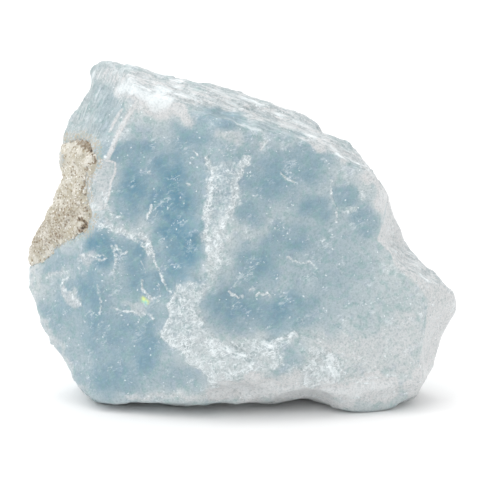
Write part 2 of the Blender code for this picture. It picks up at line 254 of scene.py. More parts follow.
FLAT_SCARS = {
    "beside the matrix": (0.58, [
        (-20.3, 33.7), (-19.4, 34.0), (-18.1, 33.7), (-18.0, 31.9), (-18.4, 30.5), (-18.5, 28.7),
        (-19.2, 27.3), (-20.3, 27.0), (-21.3, 26.9), (-21.7, 28.4), (-22.0, 29.8), (-21.9, 31.5),
        (-21.6, 32.9)]),
    "right rim": (0.85, [
        (20.1, 27.6), (19.8, 25.3), (19.2, 22.8), (20.6, 21.1), (21.3, 19.2), (22.7, 17.9), (23.7, 16.9),
        (25.0, 15.8), (25.9, 14.4), (25.5, 10.2), (24.8, 6.0), (23.7, 1.8), (26.2, 1.1), (31.8, 10.2),
        (31.8, 15.8), (24.8, 22.8), (21.3, 27.7)]),
}

# %% Lines of broken ground
BROKEN = {
    "band left vein": (
        [(-4.7, 34.3), (-4.4, 32.6), (-4.3, 29.1), (-5.1, 25.6), (-5.2, 23.9), (-4.3, 20.3)], 0.6, 0.85),
    "band right vein": ([(0.5, 34.3), (-0.9, 30.9), (-1.5, 27.6), (-3.1, 24.5), (-3.4, 21.1)], 0.7, 0.85),
    "fork left edge": ([(-8.7, 16.4), (-9.8, 14.9), (-10.1, 12.4), (-10.4, 10.3), (-10.8, 9.5)], 0.45, 0.85),
    "fork body": ([(-8.8, 8.6), (-5.2, 8.5), (-3.1, 6.7), (-0.6, 6.0), (1.7, 6.9), (4.1, 7.4)], 0.9, 0.90),
    "fork ridge": ([(-10.8, 9.4), (-9.0, 8.0), (-6.6, 6.0), (-4.8, 4.6), (-3.6, 3.2)], 0.8, 1.05),
    "fork right": ([(1.0, 8.0), (2.7, 8.3), (4.1, 8.8), (6.1, 9.1), (7.3, 9.7)], 0.4, 0.85),
    "fork foot": ([(-3.0, 3.2), (-0.4, 4.3), (1.8, 5.0), (4.4, 5.4)], 0.5, 0.85),
    "arc cloud": ([(-14.3, 23.4), (-13.5, 22.5), (-12.9, 21.4)], 0.8, 0.80),
    "white chip": ([(12.1, 6.3), (12.4, 5.2), (12.8, 4.1)], 0.8, 1.35),
    "white chip arm": ([(10.3, 6.9), (11.5, 6.7), (12.8, 6.0), (13.4, 5.2)], 0.4, 0.90),
    "foot spot": ([(8.7, 3.8), (9.3, 4.6)], 0.7, 0.80),
    "right cloud": ([(16.3, 29.8), (16.8, 28.6)], 0.5, 0.80),
    "low right cloud": ([(14.5, 26.7), (15.6, 27.3)], 0.6, 0.65),
}

# %% Veils, and painted light on the top and the underside
VEILS_AND_PAINTED_LIGHT = {
    "wedge haze": ([(-24.6, 15.6), (-23.4, 14.2), (-22.6, 13.4)], 0.9, 0.62),
    "hook haze": ([(-22.8, 20.0), (-21.8, 20.2)], 0.8, 0.60),
    "loop haze": ([(-25.2, 16.6), (-24.6, 18.0), (-26.6, 18.0)], 0.6, 0.45),
    "arc haze": ([(-19.0, 25.0), (-16.0, 23.8), (-13.6, 22.2)], 0.9, 0.45),
    # The crest, crest haze, haze lobe and right crest strokes are a painted highlight: they whiten the top,
    # where the light from above falls.
    "crest": (
        [(-19.0, 46.2), (-14.0, 45.0), (-8.0, 43.2), (-2.0, 42.4), (4.0, 40.6), (9.0, 38.4)], 1.7, 0.85),
    "crest haze": ([(-16.2, 44.2), (-13.5, 43.2), (-10.6, 42.0)], 2.6, 1.60),
    "haze lobe": ([(-10.6, 41.6), (-8.2, 40.6), (-7.2, 39.8)], 1.3, 1.25),
    "right crest": ([(9.6, 37.6), (13.0, 35.6), (16.4, 33.4), (18.8, 31.0), (20.4, 28.0)], 1.5, 1.20),
    "pink cloud": ([(-3.0, 37.6), (-1.2, 37.4), (-0.4, 37.0)], 1.3, 0.62),
    "pink spot": ([(3.3, 36.9), (3.0, 35.6)], 0.6, 0.75),
    "level haze": ([(-15.7, 13.6), (-12.9, 13.0)], 0.8, 0.55),
    # The foot haze, foot sheen, low right haze and tip strokes are painted light in the shade of the
    # underside; the foot sheen is a painted sheen.
    "foot haze": ([(-3.0, 1.8), (4.0, 2.0), (12.0, 1.4), (20.0, 2.4)], 2.4, 1.30),
    "foot sheen": ([(-16.0, 0.8), (-8.0, 0.8), (-3.0, 1.0)], 0.9, 0.70),
    "low right haze": ([(12.0, 8.0), (18.0, 6.0), (23.0, 11.0), (23.0, 5.0)], 3.2, 0.62),
    "tip": ([(29.4, 15.8), (28.8, 11.0), (26.8, 5.6), (24.2, 2.0)], 2.0, 1.10),
    "left rim": ([(-29.8, 20.0), (-29.0, 14.0), (-26.0, 8.0), (-22.0, 2.0)], 0.7, 0.55),
}

# %% Cracks
CRACKS = {
    "arc": (
        [(-20.5, 25.3), (-18.8, 24.5), (-17.1, 24.1), (-15.7, 23.4), (-14.3, 22.5),
         (-13.2, 21.7)], 0.50, 0.85),
    "arc tail": (
        [(-13.2, 21.7), (-12.5, 20.8), (-12.0, 19.2), (-11.3, 17.6), (-10.7, 16.4),
         (-10.1, 15.4)], 0.26, 0.88),
    "arc start": ([(-19.2, 28.7), (-19.0, 27.3), (-18.3, 26.4), (-17.0, 25.9)], 0.40, 0.90),
    "star": ([(-14.1, 17.1), (-13.9, 15.7), (-12.7, 14.7)], 0.30, 1.00),
    "upright beside": ([(-11.7, 16.6), (-11.5, 15.0), (-12.0, 14.1)], 0.18, 0.60),
    "branch": ([(-14.2, 19.9), (-13.8, 19.0), (-13.5, 18.2)], 0.16, 0.60),
    "level": ([(-18.5, 13.4), (-17.1, 12.9), (-15.0, 12.7), (-13.2, 12.6), (-12.5, 11.9)], 0.28, 0.72),
    "left upright": ([(-20.2, 16.5), (-19.9, 14.7), (-19.7, 13.6), (-19.8, 12.7)], 0.26, 0.70),
    "hook": ([(-22.7, 19.0), (-22.9, 20.1), (-22.4, 20.8), (-21.7, 19.7)], 0.34, 0.78),
    "loop": (
        [(-21.6, 20.6), (-20.9, 20.4), (-19.5, 20.8), (-19.1, 20.3), (-19.7, 19.9),
         (-20.5, 20.1)], 0.24, 0.68),
    "left loop": (
        [(-25.4, 16.2), (-25.0, 17.1), (-24.3, 17.6), (-24.4, 18.2), (-25.5, 18.3),
         (-27.9, 17.3)], 0.32, 0.66),
    "wedge": ([(-24.8, 15.8), (-24.0, 15.4), (-23.6, 14.5), (-22.6, 13.7)], 0.40, 0.80),
    "under the arc": (
        [(-18.3, 22.0), (-17.7, 21.1), (-17.8, 19.7), (-18.1, 18.6), (-18.0, 17.2)], 0.32, 0.72),
    "pair": ([(-17.7, 22.0), (-17.0, 20.8), (-16.2, 21.1)], 0.34, 0.80),
    "comma": ([(5.4, 32.2), (5.8, 31.6), (6.4, 31.2), (7.3, 30.9)], 0.22, 0.90),
    "right upright": (
        [(12.4, 31.2), (12.4, 29.4), (12.7, 28.0), (13.1, 27.3), (13.2, 26.2), (13.1, 25.2)], 0.28, 0.80),
    "dotted": ([(6.4, 20.3), (7.2, 19.9), (8.2, 19.6), (9.3, 19.6), (10.0, 19.3)], 0.24, 0.90),
    # The three glint strokes are painted glints: bright arcs painted into the colour like cracks.
    "glint left": ([(-1.9, 15.7), (-1.5, 15.1), (-0.6, 14.8), (0.2, 15.1)], 0.22, 0.95),
    "glint right": ([(1.9, 15.0), (2.4, 15.4), (3.0, 15.1), (3.4, 15.4), (4.0, 14.8)], 0.26, 0.95),
    "glint above": ([(0.9, 15.7), (2.0, 16.1)], 0.18, 0.70),
    "foot line": (
        [(8.5, 2.4), (10.8, 2.4), (13.4, 3.1), (16.4, 3.4), (19.2, 3.6), (21.7, 4.1),
         (23.7, 3.6)], 0.34, 0.60),
    "low foot line": ([(13.6, 3.2), (15.3, 3.1), (17.0, 2.8), (18.3, 2.9)], 0.20, 0.75),
    "foot curve": ([(10.0, 1.0), (10.6, 1.5)], 0.22, 0.80),
    "foot bright": ([(15.3, 0.8), (16.6, 0.8)], 0.28, 0.85),
}

# %% Ridges, chips, dust and the spark
RIDGES = {
    "flank ridge": (
        [(-14.6, 42.3), (-15.6, 40.8), (-16.4, 39.4), (-17.3, 37.8), (-18.3, 35.4),
         (-18.8, 34.3)], 0.38, 0.95),
    "flank line": ([(-16.9, 41.0), (-17.6, 39.9), (-18.1, 39.0), (-18.5, 38.0)], 0.30, 0.65),
    "scar top": ([(-20.3, 33.8), (-19.4, 34.0), (-18.1, 33.7)], 0.18, 0.85),
    "scar rim": ([(-17.8, 33.6), (-17.8, 32.3), (-18.4, 30.9), (-18.7, 29.0), (-19.2, 27.6)], 0.20, 0.90),
    "scar foot": ([(-19.2, 27.3), (-20.3, 27.0), (-21.3, 26.9)], 0.18, 0.70),
    "right facet ridge": (
        [(20.1, 27.6), (19.7, 25.0), (19.0, 22.8), (19.7, 22.2), (20.9, 21.0), (21.2, 20.1)], 0.22, 0.85),
    "right facet foot": ([(21.2, 20.1), (21.9, 19.3), (23.7, 18.2), (25.0, 16.6)], 0.22, 0.75),
}
CHIPS = {
    "round": ([(-13.3, 32.2), (-13.0, 32.2)], 0.34, 0.95),
    "slanted": ([(-12.8, 27.6), (-12.9, 26.7), (-13.4, 26.0)], 0.30, 0.95),
    "small": ([(-7.7, 30.7), (-7.4, 30.5)], 0.30, 0.85),
    "hook left": ([(-6.8, 35.2), (-6.2, 34.7)], 0.16, 0.85),
    "hook right": ([(-7.3, 34.4), (-6.4, 34.1)], 0.14, 0.80),
    "upper": ([(-3.3, 35.3), (-3.0, 35.0)], 0.28, 0.90),
    "over the facet": ([(-19.4, 34.1), (-19.0, 34.5)], 0.40, 0.95),
    "right": ([(24.6, 12.8), (24.9, 12.3)], 0.34, 0.90),
    "right low": ([(14.3, 9.8), (14.7, 9.4)], 0.26, 0.85),
}
DUST = {
    "above": ([(-27.0, 37.6), (-24.4, 37.0), (-22.4, 37.4), (-20.6, 36.0)], 0.9, 0.75),
    "right": ([(-20.6, 36.0), (-19.7, 34.0), (-20.6, 32.4), (-21.4, 31.0), (-21.3, 28.4)], 0.45, 0.60),
    "below": ([(-20.6, 26.2), (-21.4, 23.8), (-24.4, 22.8), (-28.0, 20.8)], 0.5, 0.55),
}
# The spark is a painted rainbow glint in a crack.
SPARKS = {"rainbow": ([(-13.9, 14.5), (-13.4, 14.1)], 0.42, 1.0)}

# %% Measuring from the lines and outlines
def away_from(line, x, z):
    """Distance of each point of the tracing from a line of points."""
    best = np.full(len(x), 1e9)
    for (x0, z0), (x1, z1) in zip(line, line[1:]):
        length = (x1 - x0) ** 2 + (z1 - z0) ** 2
        share = np.clip(((x - x0) * (x1 - x0) + (z - z0) * (z1 - z0)) / length, 0.0, 1.0)
        best = np.minimum(best, np.hypot(x - x0 - share * (x1 - x0), z - z0 - share * (z1 - z0)))
    return best


def smooth_share(value, low, high):
    """0 below low, 1 above high, and a smooth ramp between."""
    t = np.clip((value - low) / (high - low), 0.0, 1.0)
    return t * t * (3.0 - 2.0 * t)


def inside(outline, x, z):
    """How far each point lies within a closed outline. It is negative outside."""
    closed = outline + outline[:1]
    crossings = np.zeros(len(x), dtype=int)
    for (x0, z0), (x1, z1) in zip(closed, closed[1:]):
        between = (z0 > z) != (z1 > z)
        crossings += between & (x < x0 + (z - z0) / (z1 - z0 + 1e-9) * (x1 - x0))
    return np.where(crossings % 2 == 1, 1.0, -1.0) * away_from(closed, x, z)


def strength_within(outlines, x, z, soft):
    """The strongest of the outlined areas at each point, with borders this soft."""
    strongest = np.zeros(len(x))
    for strength, outline in outlines.values():
        strongest = np.maximum(strongest, strength * smooth_share(inside(outline, x, z), -soft, soft))
    return strongest


def strength_of(strokes, x, z, soft_from, soft_to):
    """The strongest of the strokes at each point. Each fades out between two shares of its half width."""
    strongest = np.zeros(len(x))
    for line, half_width, strength in strokes.values():
        share = 1.0 - smooth_share(away_from(line, x, z), soft_from * half_width, soft_to * half_width)
        strongest = np.maximum(strongest, strength * share)
    return strongest


# %% [markdown]
# ## A closer net on the breaks
#
# A crack is thinner than the spacing of the net. A finer net everywhere would be far too heavy, so only the
# faces on the breaks are divided: once on the broken ground, and then twice along the thin cracks, chips and
# ridges. What is left is one mesh, coarse where nothing happens and fine where it matters.

# %% Dividing the net on the breaks
def divide_beside(piece, strokes, outlines, reach):
    """Divides the front's edges that lie within reach of the strokes or outlines."""
    points = to_face(read_points(piece.data))
    x, z = on_tracing(points)
    front = turned_to_face(read_normals(piece.data))[:, 1] < -0.15
    near = np.zeros(len(points), dtype=bool)
    for line, half_width, _ in strokes.values():
        near |= away_from(line, x, z) < half_width + reach
    for _, outline in outlines.values():
        near |= inside(outline, x, z) > -reach
    chosen = near & front
    bm = bmesh.new()
    bm.from_mesh(piece.data)
    bm.verts.ensure_lookup_table()
    edges = [e for e in bm.edges if chosen[e.verts[0].index] and chosen[e.verts[1].index]]
    bmesh.ops.subdivide_edges(bm, edges=edges, cuts=1, use_grid_fill=True)
    bmesh.ops.triangulate(bm, faces=[f for f in bm.faces if len(f.verts) > 4])
    bm.to_mesh(piece.data)
    bm.free()


divide_beside(crystal, BROKEN, CRUSHED, 0.3)
for reach in (0.4, 0.2):
    divide_beside(crystal, CRACKS | CHIPS | RIDGES, {}, reach)
print("crystal after dividing:", len(crystal.data.vertices), "points")

# %% [markdown]
# ## Relief
#
# Crushed ground breaks into small sharp crests, which a ridged noise gives. The left flank is ribbed by the
# edges of thin crystal layers, and the top by layers that run along the crest: both are noise that is
# stretched along one direction. Elsewhere, and most of all round the rim and behind, the stone chips into
# small flat steps, for which a cell noise gives each chip a plane of its own. Each point is moved along its
# own normal by the sum of these.

# %% Noise on the points
def noise_at(points, size, octaves=2, shift=0.0):
    """Smooth noise about zero, with waves of this many millimetres (one number or one for each axis)."""
    scaled = points / np.asarray(size) + shift
    return np.array([noise.fractal(Vector(p), 1.0, 2.1, octaves) for p in scaled])


def crests_at(points, size, shift=0.0):
    """Broken ground with sharp crests, about 0 to 1."""
    scaled = points / np.asarray(size) + shift
    return np.array([noise.ridged_multi_fractal(Vector(p), 0.9, 2.2, 3, 1.0, 2.0) for p in scaled]) / 2.0


# Without a seed, the noise that tilts the chips would start from the clock and differ in every run.
TILT_SEED = 7
noise.seed_set(TILT_SEED)


def steps_at(points, size, shift=0.0):
    """Small flat chips with a step between them: each cell of this size is a plane with its own tilt."""
    heights = []
    for p in points / np.asarray(size) + shift:
        here_cell = noise.voronoi(Vector(p))[1][0]
        tilt = noise.noise_vector(here_cell * 7.3)
        heights.append(tilt.dot(Vector(p) - here_cell) + 0.5 * tilt.x)
    return np.array(heights)


# %% Where each kind of break lies
FLANK_RIB, FLANK_LEAN = (0.45, 20.0, 9.0), math.radians(12.0)
CREST_RIB, CREST_LEAN = (9.0, 20.0, 0.5), math.radians(19.0)


def turned_across(points, angle):
    """Points of the face turned by an angle in the plane of the face."""
    x, y, z = points.T
    return np.column_stack((
        x * math.cos(angle) - z * math.sin(angle), y, x * math.sin(angle) + z * math.cos(angle)))


here = to_face(read_points(crystal.data))
facing = turned_to_face(read_normals(crystal.data))
across, up = on_tracing(here)
front = smooth_share(-facing[:, 1], 0.25, 0.6)
behind = smooth_share(facing[:, 1], 0.2, 0.5)
top = smooth_share(facing[:, 2], 0.28, 0.55)
flank = smooth_share(-facing[:, 0], 0.35, 0.65) * smooth_share(here[:, 2], 22.0, 30.0)
sway_x, sway_z = 1.5 * noise_at(here, 2.6), 1.5 * noise_at(here, 2.6, 2, 40.0)
shake_x, shake_z = 0.22 * noise_at(here, 0.7), 0.22 * noise_at(here, 0.7, 2, 40.0)
lean_x, lean_z = across + 0.35 * sway_x + 1.5 * shake_x, up + 0.35 * sway_z + 1.5 * shake_z
crushed = front * strength_within(CRUSHED, lean_x, lean_z, 0.35)
broken = front * strength_of(BROKEN, lean_x, lean_z, 0.35, 1.35)
scarred = strength_within(FLAT_SCARS, across + 0.4 * shake_x, up + 0.4 * shake_z, 0.12)
scarred *= smooth_share(-facing[:, 1], -0.05, 0.15)
cracked = front * strength_of(CRACKS | CHIPS, across + shake_x, up + shake_z, 0.1, 1.3)
cracked *= 0.60 + 0.40 * smooth_share(noise_at(here, 0.8, 2, 70.0), -0.15, 0.15)
ridged = front * strength_of(RIDGES, across + 0.3 * shake_x, up + 0.3 * shake_z, 0.2, 1.4)

# %% Pressing the relief into the crystal
rough = np.maximum(crushed, 0.6 * broken)
relief = 0.05 * noise_at(here, 1.7) + 0.10 * noise_at(here, 5.0, 2, 9.0)
relief += 0.16 * steps_at(here, 2.6) * (1.0 - 0.6 * front * (1.0 - rough)) + 0.08 * steps_at(here, 1.1, 30.0)
relief += rough * (0.50 * (crests_at(here, 2.4) - 0.45) + 0.40 * (crests_at(here, 1.0, 5.0) - 0.45))
relief += rough * 0.18 * (crests_at(here, 0.5, 9.0) - 0.45)
relief += 0.10 * broken
rim = 1.0 - smooth_share(np.abs(facing[:, 1]), 0.15, 0.50)
patchy = smooth_share(noise_at(here, 6.0, 2, 35.0), -0.15, 0.20)
relief += rim * (0.34 * steps_at(here, 2.4, 60.0) + 0.14 * patchy * (crests_at(here, 1.4, 20.0) - 0.45))
relief *= 1.0 - 0.7 * scarred * (1.0 - rough)
relief += behind * 0.30 * steps_at(here, 4.5, 80.0)
relief += flank * 0.16 * noise_at(turned_across(here, FLANK_LEAN), FLANK_RIB)
relief += top * 0.16 * noise_at(turned_across(here, CREST_LEAN), CREST_RIB)
relief += behind * 0.25 * (crests_at(here, 4.0, 2.0) - 0.45)
relief += 0.09 * cracked + 0.06 * ridged
points = read_points(crystal.data)
standing = smooth_share(points[:, 2] / MM, 0.0, 0.6)
moved = points + read_normals(crystal.data) * (relief * standing * MM)[:, None]
moved[:, 2] = np.maximum(moved[:, 2], 0.0)
write_points(crystal.data, moved)
print("relief, mm: from", round(float(relief.min()), 2), "to", round(float(relief.max()), 2))

# %% [markdown]
# ## What the shape says about colour
#
# The material reads numbers that are stored at each point of the crystal. `blue` says how deep the colour is:
# strong in the hearts of the block, which are placed one by one, and weak where the stone is thin, because
# there the light passes through. Six slanting rays are shot into the stone from each point, and their mean
# length says how thick it is. `frost` says how crushed or cracked the ground is, and the stored haze how hazy
# it is, with some painted light in it. `edge` says how far a point stands out from its surroundings or sinks
# below them: edges chip and turn pale, and from the same number the material paints a highlight on crests
# and shade in hollows. `dust` marks its own places, `spark` the place of a painted rainbow glint, and `crest`
# and `flank` say where the ribs of the top and of the left flank show.

# %% The blue hearts of the stone
HEARTS = {
    "strip": ((-8.7, 22.1), (3.4, 5.6), 1.00),
    "strip top": ((-9.9, 29.8), (3.9, 6.7), 0.92),
    "beside the matrix": ((-15.6, 29.8), (2.7, 4.0), 0.90),
    "upper left": ((-15.6, 34.8), (3.9, 2.5), 0.74),
    "upper middle": ((-7.3, 36.8), (3.1, 2.0), 0.70),
    "under the matrix": ((-19.4, 21.4), (2.8, 3.1), 0.95),
    "inside the arc": ((-15.0, 19.7), (2.0, 3.9), 0.85),
    "below the arc": ((-12.2, 16.5), (2.8, 2.5), 0.78),
    "hollow": ((-1.6, 13.8), (3.8, 4.2), 0.82),
    "hollow right": ((4.5, 13.0), (6.7, 3.1), 0.78),
    "middle": ((2.2, 19.5), (3.9, 3.6), 0.80),
    "beside the band": ((0.8, 26.3), (2.5, 2.2), 0.68),
    "right upper": ((4.5, 31.2), (3.6, 4.2), 0.72),
    "right top": ((9.2, 33.3), (3.1, 3.6), 0.68),
    "right middle": ((10.1, 27.3), (3.1, 2.0), 0.74),
    "far right": ((16.7, 25.9), (2.0, 2.5), 0.66),
    "far right top": ((14.3, 29.4), (2.1, 2.0), 0.68),
    "right low": ((6.6, 22.8), (3.1, 2.5), 0.68),
    "left edge": ((-25.5, 12.7), (2.0, 3.1), 0.70),
    "left": ((-22.0, 16.5), (2.5, 2.2), 0.66),
    "low left": ((-15.7, 8.8), (5.3, 3.9), 0.68),
    "foot left": ((-17.8, 3.5), (3.9, 2.5), 0.74),
    "beside the fork": ((-13.4, 7.4), (1.8, 5.0), 0.70),
    "under the horn": ((-25.5, 19.7), (2.8, 1.7), 0.60),
    "top middle": ((-3.2, 39.6), (4.4, 2.0), 0.66),
    "right field": ((10.8, 20.5), (8.0, 10.2), 0.48),
    "foot right": ((19.6, 12.6), (5.4, 6.0), 0.20),
    "foot middle": ((6.6, 6.3), (2.0, 2.5), 0.46),
    "foot": ((-8.7, 3.8), (4.2, 1.8), 0.50),
    "flank": ((-19.4, 40.7), (2.0, 4.8), 0.42),
    "left seam": ((-20.6, 14.0), (2.4, 9.5), 0.70),
    "left field": ((-18.0, 12.0), (10.0, 12.0), 0.58),
    "upper field": ((-4.0, 32.0), (16.0, 7.0), 0.54),
}
PALEST_BLUE = 0.08
THIN, THICK = 1.0, 3.4

# %% Measuring heart and thickness
def heart_at(x, z):
    """How blue the stone is inside, from its softly bounded hearts."""
    total = np.full(len(x), PALEST_BLUE**4)
    for (x0, z0), (reach_x, reach_z), strength in HEARTS.values():
        off = ((x - x0) / (1.15 * reach_x)) ** 2 + ((z - z0) / (1.15 * reach_z)) ** 2
        total += (strength * np.exp(-(off**1.6))) ** 4
    return total**0.25


def thickness_of(piece, farthest):
    """How far slanting rays go through the stone from each point, in millimetres: the mean of six."""
    points, normals = read_points(piece.data), read_normals(piece.data)
    tree = BVHTree.FromPolygons(
        [v.co for v in piece.data.vertices], [p.vertices[:] for p in piece.data.polygons])
    total = np.zeros(len(points))
    tilts = [Vector(axis) * sign for axis in ((1.2, 0, 0), (0, 1.2, 0), (0, 0, 1.2)) for sign in (-1, 1)]
    for i, (point, normal) in enumerate(zip(points, normals)):
        for tilt in tilts:
            inward = (tilt - Vector(normal)).normalized()
            hit = tree.ray_cast(Vector(point) + inward * 0.25 * MM, inward, farthest * MM)
            total[i] += farthest if hit[0] is None else hit[3] / MM
    return total / len(tilts)


def store(piece, name, values):
    """Keeps one number for each point of the piece, for its material to read."""
    made = piece.data.attributes.new(name, "FLOAT", "POINT")
    made.data.foreach_set("value", values.astype(np.float32))


# %% Storing what the material reads
thickness = smoothed(crystal.data, thickness_of(crystal, THICK + 1.0), 4)
heart = heart_at(across + sway_x, up + sway_z)
thin = 1.0 - smooth_share(thickness, THIN, THICK)
blue = heart * (1.0 - 0.65 * thin)
shape = read_points(crystal.data)
# How far each point stands out from its smoothed surroundings, in millimetres. It marks chipped, pale edges,
# and the material also paints a highlight on the crests and shade in the hollows from it.
edge = ((shape - smoothed(crystal.data, shape, 3)) * read_normals(crystal.data)).sum(axis=1) / MM
# Veils, and the painted light of the crest and underside strokes: a highlight on the top and light in the
# shade below.
veils_and_painted_light = (1.0 - behind) * strength_of(VEILS_AND_PAINTED_LIGHT, across + sway_x, up + sway_z, 0.2, 1.3)
back_frost = behind * 0.5 * smooth_share(noise_at(here, 3.5, 3), 0.0, 0.5)
frost = np.maximum.reduce([crushed, broken, cracked, back_frost])
# Haze and painted light together: veils, flat scars, ridges, paler thin stone, and a paler rim where the sides
# turn away from the front, partly chipped and partly painted light through the thin edges.
veil_and_painted_light = np.maximum.reduce([veils_and_painted_light, scarred, 1.35 * ridged, 0.35 * thin, 0.55 * rim * patchy])
# Where the painted rainbow glint goes.
spark = front * strength_of(SPARKS, across, up, 0.2, 1.2)
store(crystal, "spark", spark)
store(crystal, "blue", blue)
store(crystal, "frost", frost)
store(crystal, "veil_and_painted_light", veil_and_painted_light)
# The edge's pale chips, painted highlight and painted shade show fully on rough ground, round the rim and
# behind, and at three tenths of their strength on the clean front.
shown = np.maximum.reduce([np.full(len(edge), 0.30), rough, 0.7 * rim * (1.0 - 0.7 * scarred), 0.8 * behind])
store(crystal, "edge", edge * shown)
dust = (1.0 - behind) * strength_of(DUST, across + shake_x, up + shake_z, 0.2, 1.4)
store(crystal, "dust", dust)
store(crystal, "crest", top)
store(crystal, "flank", flank)
print("thickness, mm:", round(float(thickness.min()), 1), "to", round(float(thickness.max()), 1))
print("edge, mm, at 5, 50 and 95 of 100:", np.percentile(edge, (5, 50, 95)).round(3))
print("thickness, mm, at 5, 50 and 95 of 100:", np.percentile(thickness, (5, 50, 95)).round(1))

# %% [markdown]
# ## Shared effects
#
# An effect that is used more than once is a node group, made once. "Mottle" turns noise into a mask with soft
# or hard borders. "Flecks" scatters small spots: a Voronoi texture gives each cell a centre and a random
# number, and only the cells whose number is low enough show a spot. Both materials use these two. "Strands"
# and "Crackle" draw the crystal's thin white lines. A strand lies where a noise passes its middle value, and
# shows only inside some of the cells. Crackle is a torn web: the borders between cells, shown in patches.

# %% Node helpers
def srgb(red, green, blue_part):
    """A colour as it is seen on a screen, 0 to 255, as the plain light values that shaders use."""
    seen = np.array((red, green, blue_part)) / 255.0
    plain = np.where(seen <= 0.04045, seen / 12.92, ((seen + 0.055) / 1.055) ** 2.4)
    return (*[float(c) for c in plain], 1.0)


def add(tree, kind, **settings):
    """A node of this kind, with its own settings, such as the operation of a Math node."""
    node = tree.nodes.new(kind)
    for name, value in settings.items():
        if hasattr(node, name):
            setattr(node, name, value)
    return node


def feed(tree, socket, value):
    """Links a socket to another, or sets its value."""
    if isinstance(value, bpy.types.NodeSocket):
        tree.links.new(value, socket)
    else:
        socket.default_value = value


def sums(tree, operation, first, second=0.5, clamp=False):
    """A Math node's result."""
    node = add(tree, "ShaderNodeMath", operation=operation, use_clamp=clamp)
    feed(tree, node.inputs[0], first)
    feed(tree, node.inputs[1], second)
    return node.outputs[0]


def ramp(tree, value, low, high, new_low=0.0, new_high=1.0):
    """A value brought smoothly from one range to another."""
    node = add(tree, "ShaderNodeMapRange", interpolation_type="SMOOTHSTEP")
    for name, given in (
            ("Value", value), ("From Min", low), ("From Max", high),
            ("To Min", new_low), ("To Max", new_high)):
        feed(tree, node.inputs[name], given)
    return node.outputs[0]


def blend_colours(tree, share, first, second):
    """The first colour, with the second mixed in by this share."""
    node = add(tree, "ShaderNodeMix", data_type="RGBA")
    feed(tree, node.inputs["Factor"], share)
    feed(tree, node.inputs[6], first)
    feed(tree, node.inputs[7], second)
    return node.outputs[2]


def new_group(name, inputs, outputs):
    """An empty node group with float or vector sockets, and its input and output nodes."""
    tree = bpy.data.node_groups.new(name, "ShaderNodeTree")
    for socket, kind, value in inputs:
        made = tree.interface.new_socket(socket, in_out="INPUT", socket_type=kind)
        if value is not None:
            made.default_value = value
    for socket, kind in outputs:
        tree.interface.new_socket(socket, in_out="OUTPUT", socket_type=kind)
    return tree, tree.nodes.new("NodeGroupInput"), tree.nodes.new("NodeGroupOutput")


FLOAT, VECTOR = "NodeSocketFloat", "NodeSocketVector"

# %% The mottle group
mottle, given, result = new_group(
    "Mottle",
    [("Place", VECTOR, None), ("Size in mm", FLOAT, 1.0), ("Detail", FLOAT, 2.0),
     ("Low", FLOAT, 0.4), ("High", FLOAT, 0.6)],
    [("Mask", FLOAT), ("Noise", FLOAT)],
)
waves = add(mottle, "ShaderNodeTexNoise")
feed(mottle, waves.inputs["Vector"], given.outputs["Place"])
feed(mottle, waves.inputs["Scale"], sums(mottle, "DIVIDE", 1.0 / MM, given.outputs["Size in mm"]))
feed(mottle, waves.inputs["Detail"], given.outputs["Detail"])
mask = ramp(mottle, waves.outputs["Fac"], given.outputs["Low"], given.outputs["High"])
feed(mottle, result.inputs["Mask"], mask)
feed(mottle, result.inputs["Noise"], waves.outputs["Fac"])

# %% The flecks group
flecks, given, result = new_group(
    "Flecks",
    [("Place", VECTOR, None), ("Size in mm", FLOAT, 0.6), ("Share", FLOAT, 0.2), ("Spread", FLOAT, 0.4)],
    [("Mask", FLOAT)],
)
stir = add(flecks, "ShaderNodeTexNoise")
feed(flecks, stir.inputs["Vector"], given.outputs["Place"])
feed(flecks, stir.inputs["Scale"], sums(flecks, "DIVIDE", 1.6 / MM, given.outputs["Size in mm"]))
shifted = add(flecks, "ShaderNodeVectorMath", operation="SCALE")
feed(flecks, shifted.inputs[0], stir.outputs["Color"])
feed(flecks, shifted.inputs["Scale"], sums(flecks, "MULTIPLY", given.outputs["Size in mm"], 0.9 * MM))
placed = add(flecks, "ShaderNodeVectorMath", operation="ADD")
feed(flecks, placed.inputs[0], given.outputs["Place"])
feed(flecks, placed.inputs[1], shifted.outputs[0])
cells = add(flecks, "ShaderNodeTexVoronoi")
feed(flecks, cells.inputs["Vector"], placed.outputs[0])
feed(flecks, cells.inputs["Scale"], sums(flecks, "DIVIDE", 1.0 / MM, given.outputs["Size in mm"]))
number = add(flecks, "ShaderNodeSeparateColor")
feed(flecks, number.inputs[0], cells.outputs["Color"])
lit = sums(flecks, "LESS_THAN", number.outputs[0], given.outputs["Share"])
reach = sums(flecks, "MULTIPLY", given.outputs["Spread"], sums(flecks, "ADD", number.outputs[1], 0.3))
near = sums(
    flecks, "SUBTRACT", 1.0, ramp(flecks, sums(flecks, "DIVIDE", cells.outputs["Distance"], reach), 0.5, 1.0))
feed(flecks, result.inputs["Mask"], sums(flecks, "MULTIPLY", lit, near))


